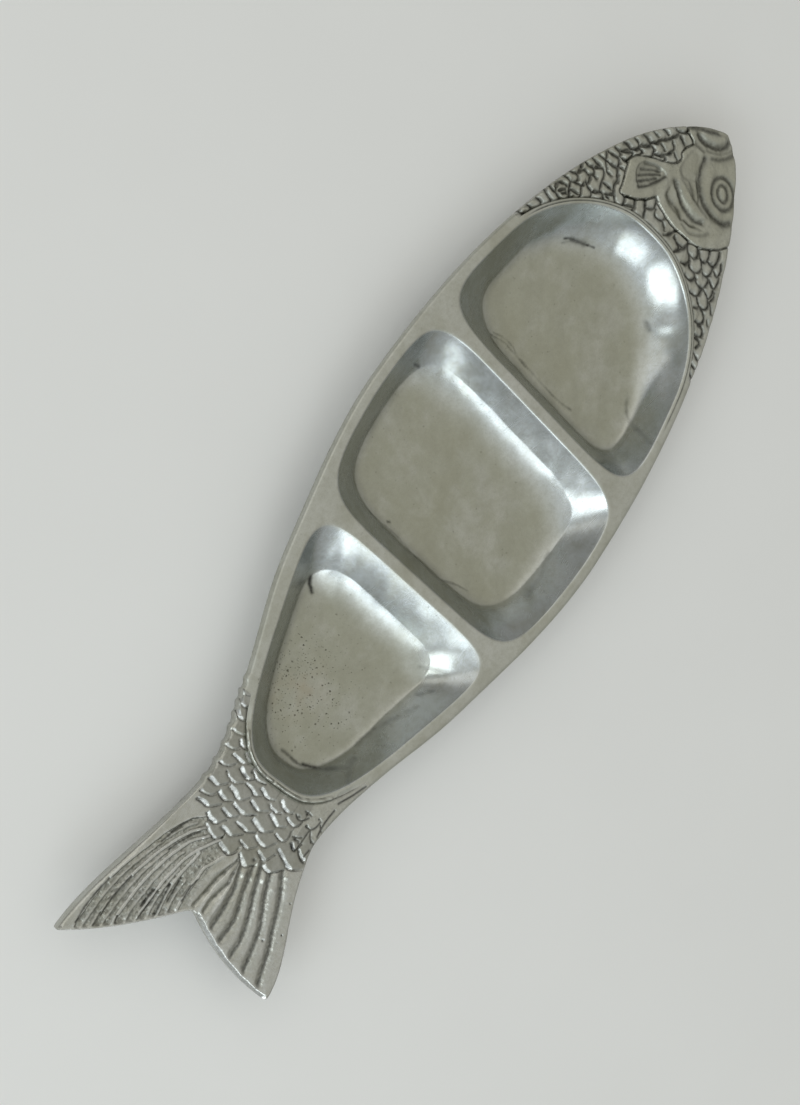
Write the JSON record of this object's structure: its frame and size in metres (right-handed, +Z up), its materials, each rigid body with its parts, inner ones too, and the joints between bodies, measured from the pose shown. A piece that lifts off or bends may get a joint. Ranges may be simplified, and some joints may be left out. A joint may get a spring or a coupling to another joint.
{
  "type": "fish shaped platter",
  "caption": "Long fish shaped serving platter of cast metal, with round, square and tapered wells, a scaled head with fin and eye, and a forked tail.",
  "frame": {"origin": "middle of the platter's box, on the plane of its feet", "axes": "+X towards the nose, +Z up out of the wells"},
  "size_m": [0.5, 0.1466, 0.0251],
  "materials": {
    "polished_casting": "hand-polished cast aluminium, satin, with fine scratches",
    "relief_casting": "cast relief with bright rubbed crests and dark patina in the grooves"
  },
  "bodies": {
    "root": {"rim": "polished_casting", "head_well": "polished_casting", "middle_well": "polished_casting", "tail_well": "polished_casting", "head_plate": "relief_casting", "head_scales": "relief_casting", "gill_cover": "relief_casting", "pectoral_fin": "relief_casting", "snout": "relief_casting", "eye_ring": "relief_casting", "eye": "relief_casting", "lips": "relief_casting", "tail_stock": "relief_casting", "tail_scales": "relief_casting", "upper_lobe": "relief_casting", "upper_lobe_rays": "relief_casting", "lower_lobe": "relief_casting", "lower_lobe_rays": "relief_casting"}
  },
  "joints": []
}
